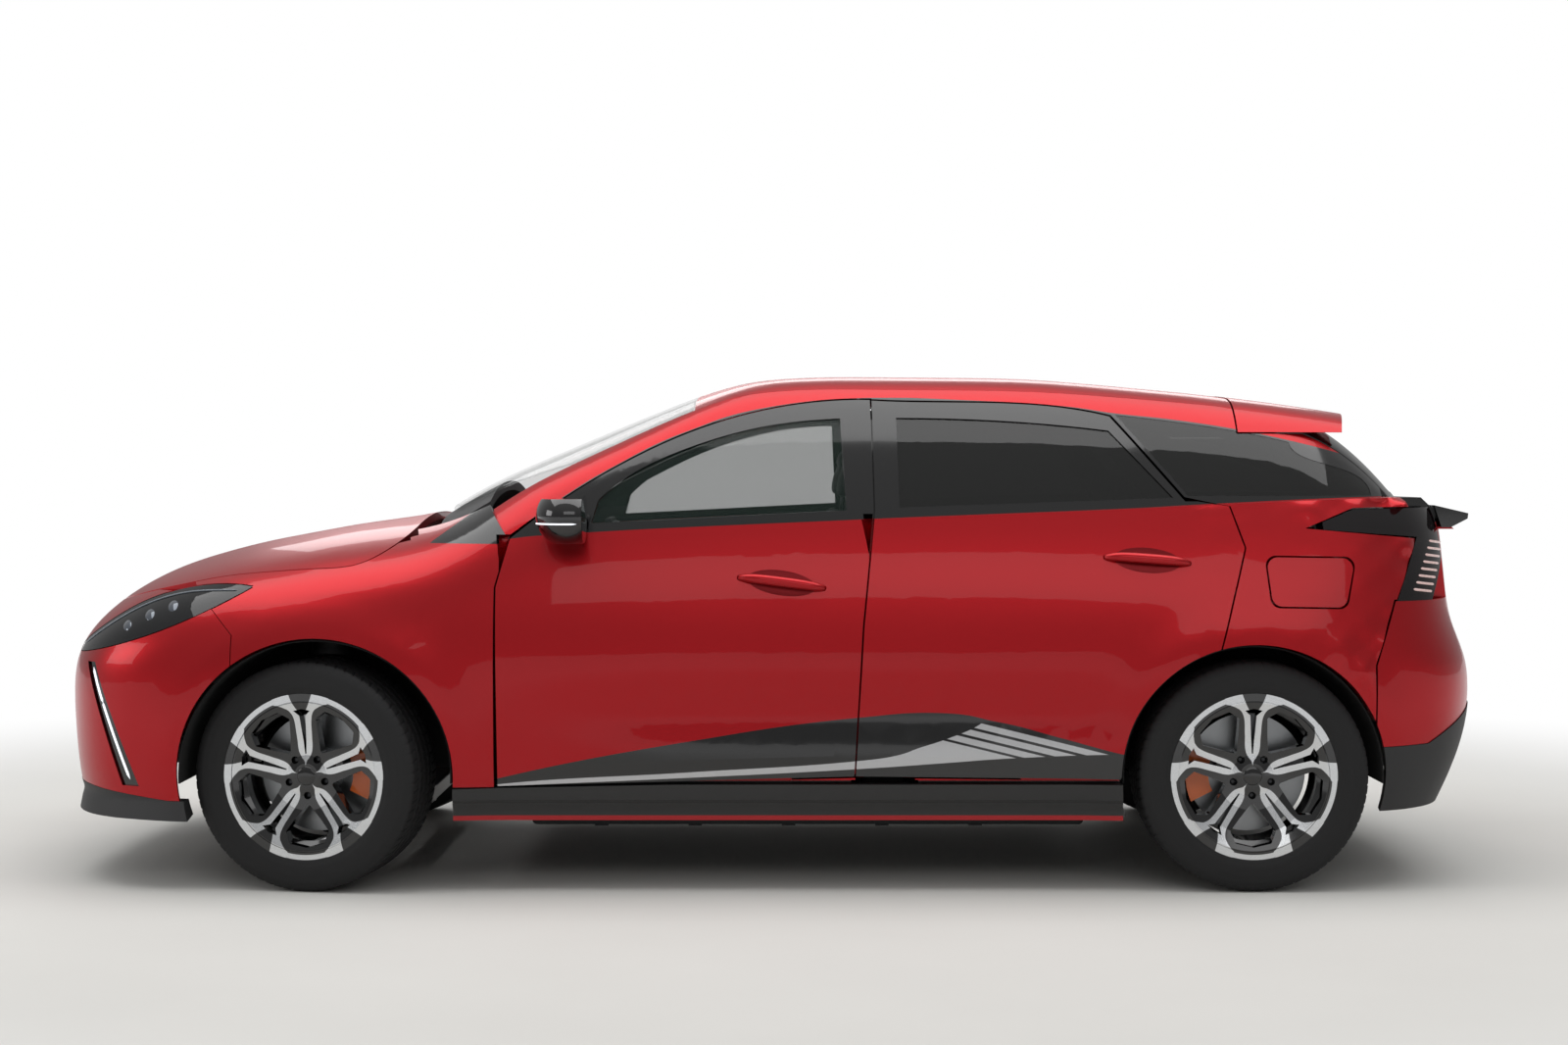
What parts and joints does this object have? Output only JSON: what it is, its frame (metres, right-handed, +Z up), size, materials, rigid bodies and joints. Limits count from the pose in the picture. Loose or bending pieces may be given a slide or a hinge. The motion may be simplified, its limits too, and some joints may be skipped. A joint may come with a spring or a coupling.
{
  "type": "electric hatchback car",
  "caption": "Five-door electric hatchback with hinged doors, bonnet and tailgate, steered front wheels and free-turning wheels on hollow panelled bodywork.",
  "frame": {"origin": "on the ground plane under the middle of the body's length, on the centre plane", "axes": "+X towards the nose, +Y towards the car's left, +Z up; the wheels stand on Z = 0"},
  "size_m": [4.2725, 2.106, 1.5128],
  "materials": {
    "red_paint": "metallic clear-coated red",
    "black_gloss": "gloss black",
    "black_plastic": "grained black",
    "dark_trim": "soft-touch dark grey",
    "glass_clear": "clear, faint green tint",
    "glass_dark": "privacy tinted",
    "lamp_dark": "smoked lens",
    "lamp_red": "red lens over black",
    "rim_alloy": "machined faces over gloss black",
    "tyre": "matt",
    "disc_iron": "turned",
    "caliper_paint": "orange enamel",
    "cast_alloy": "as cast",
    "steel_black": "black dip coat",
    "floor_metal": "sealed underbody",
    "seat_fabric": "dark woven"
  },
  "bodies": {
    "body": {"body_sides": "red_paint", "floor_pan": "floor_metal", "roof_panel": "red_paint", "windscreen": "glass_clear", "front_fenders": "red_paint", "front_bumper": "red_paint", "front_splitter": "black_plastic", "front_grille": "black_plastic", "headlamps": "lamp_dark", "cowl_and_wipers": "black_plastic", "rear_bumper": "red_paint", "rear_diffuser": "black_plastic", "tail_lamps": "lamp_dark", "quarter_glass": "glass_dark", "side_skirts": "black_plastic", "wheel_arch_liners": "black_plastic", "dashboard": "dark_trim", "front_seats": "seat_fabric", "rear_bench": "seat_fabric", "battery_pack": "floor_metal", "drive_units": "cast_alloy", "drive_shafts": "steel_black", "subframes": "steel_black", "front_struts": "steel_black", "rear_knuckles": "cast_alloy", "rear_calipers": "caliper_paint", "body_rails": "steel_black"},
    "front_left_door": {"front_door_left": "red_paint", "front_door_glass_left": "glass_clear", "mirror_left": "black_gloss"},
    "front_right_door": {"front_door_right": "red_paint", "front_door_glass_right": "glass_clear", "mirror_right": "black_gloss"},
    "rear_left_door": {"rear_door_left": "red_paint", "rear_door_glass_left": "glass_dark"},
    "rear_right_door": {"rear_door_right": "red_paint", "rear_door_glass_right": "glass_dark"},
    "bonnet_lid": {"bonnet": "red_paint"},
    "hatch": {"tailgate": "black_gloss", "rear_window": "glass_dark", "spoiler": "red_paint", "tail_light_bar": "lamp_red"},
    "charge_lid": {"charge_flap": "red_paint"},
    "steering_hand_wheel": {"steering_wheel": "dark_trim"},
    "left_knuckle": {"front_left_knuckle": "cast_alloy", "front_left_caliper": "caliper_paint"},
    "right_knuckle": {"front_right_knuckle": "cast_alloy", "front_right_caliper": "caliper_paint"},
    "front_left_wheel": {"front_left_rim": "rim_alloy", "front_left_tyre": "tyre", "front_left_disc": "disc_iron"},
    "front_right_wheel": {"front_right_rim": "rim_alloy", "front_right_tyre": "tyre", "front_right_disc": "disc_iron"},
    "rear_left_wheel": {"rear_left_rim": "rim_alloy", "rear_left_tyre": "tyre", "rear_left_disc": "disc_iron"},
    "rear_right_wheel": {"rear_right_rim": "rim_alloy", "rear_right_tyre": "tyre", "rear_right_disc": "disc_iron"}
  },
  "joints": [
    {"name": "front_left_door_hinge", "type": "hinge", "parent": "body", "child": "front_left_door", "pos_m": [0.7205, 0.83916, 0.64], "axis": [0, 0, -1], "range_deg": [0, 65]},
    {"name": "rear_left_door_hinge", "type": "hinge", "parent": "body", "child": "rear_left_door", "pos_m": [-0.34122, 0.83916, 0.64], "axis": [0, 0, -1], "range_deg": [0, 68]},
    {"name": "front_right_door_hinge", "type": "hinge", "parent": "body", "child": "front_right_door", "pos_m": [0.7205, -0.83916, 0.64], "axis": [0, 0, 1], "range_deg": [0, 65]},
    {"name": "rear_right_door_hinge", "type": "hinge", "parent": "body", "child": "rear_right_door", "pos_m": [-0.34122, -0.83916, 0.64], "axis": [0, 0, 1], "range_deg": [0, 68]},
    {"name": "bonnet_hinge", "type": "hinge", "parent": "body", "child": "bonnet_lid", "pos_m": [1.0855, 0, 0.995], "axis": [0, -1, 0], "range_deg": [0, 50]},
    {"name": "tailgate_hinge", "type": "hinge", "parent": "body", "child": "hatch", "pos_m": [-1.3415, 0, 1.426], "axis": [0, 1, 0], "range_deg": [0, 75]},
    {"name": "charge_lid_hinge", "type": "hinge", "parent": "body", "child": "charge_lid", "pos_m": [-1.4695, 0.87148, 0.89], "axis": [0, 0.258, -0.9662], "range_deg": [0, 90]},
    {"name": "front_left_steer", "type": "hinge", "parent": "body", "child": "left_knuckle", "pos_m": [1.3015, 0.72, 0.2], "axis": [0, -0.2228, 0.9749], "range_deg": [-23, 43]},
    {"name": "front_left_wheel_spin", "type": "hinge", "parent": "left_knuckle", "child": "front_left_wheel", "pos_m": [1.31616, 0.77475, 0.33371], "axis": [0.1693, 0.9856, -0.0033], "continuous": true},
    {"name": "rear_left_wheel_spin", "type": "hinge", "parent": "body", "child": "rear_left_wheel", "pos_m": [-1.4035, 0.776, 0.334], "axis": [0, 1, 0], "continuous": true},
    {"name": "front_right_steer", "type": "hinge", "parent": "body", "child": "right_knuckle", "pos_m": [1.3015, -0.72, 0.2], "axis": [0, 0.2228, 0.9749], "range_deg": [-23, 43]},
    {"name": "front_right_wheel_spin", "type": "hinge", "parent": "right_knuckle", "child": "front_right_wheel", "pos_m": [1.28684, -0.77475, 0.33371], "axis": [0.1693, 0.9856, 0.0033], "continuous": true},
    {"name": "rear_right_wheel_spin", "type": "hinge", "parent": "body", "child": "rear_right_wheel", "pos_m": [-1.4035, -0.776, 0.334], "axis": [0, 1, 0], "continuous": true},
    {"name": "steering_wheel_turn", "type": "hinge", "parent": "body", "child": "steering_hand_wheel", "pos_m": [0.4335, 0.36, 0.873], "axis": [-0.9806, 0, 0.1961], "range_deg": [-320, 600]}
  ],
  "couplings": [
    {"joint": "front_right_steer", "follows": "front_left_steer", "ratio": 1},
    {"joint": "steering_wheel_turn", "follows": "front_left_steer", "ratio": 13.7}
  ]
}
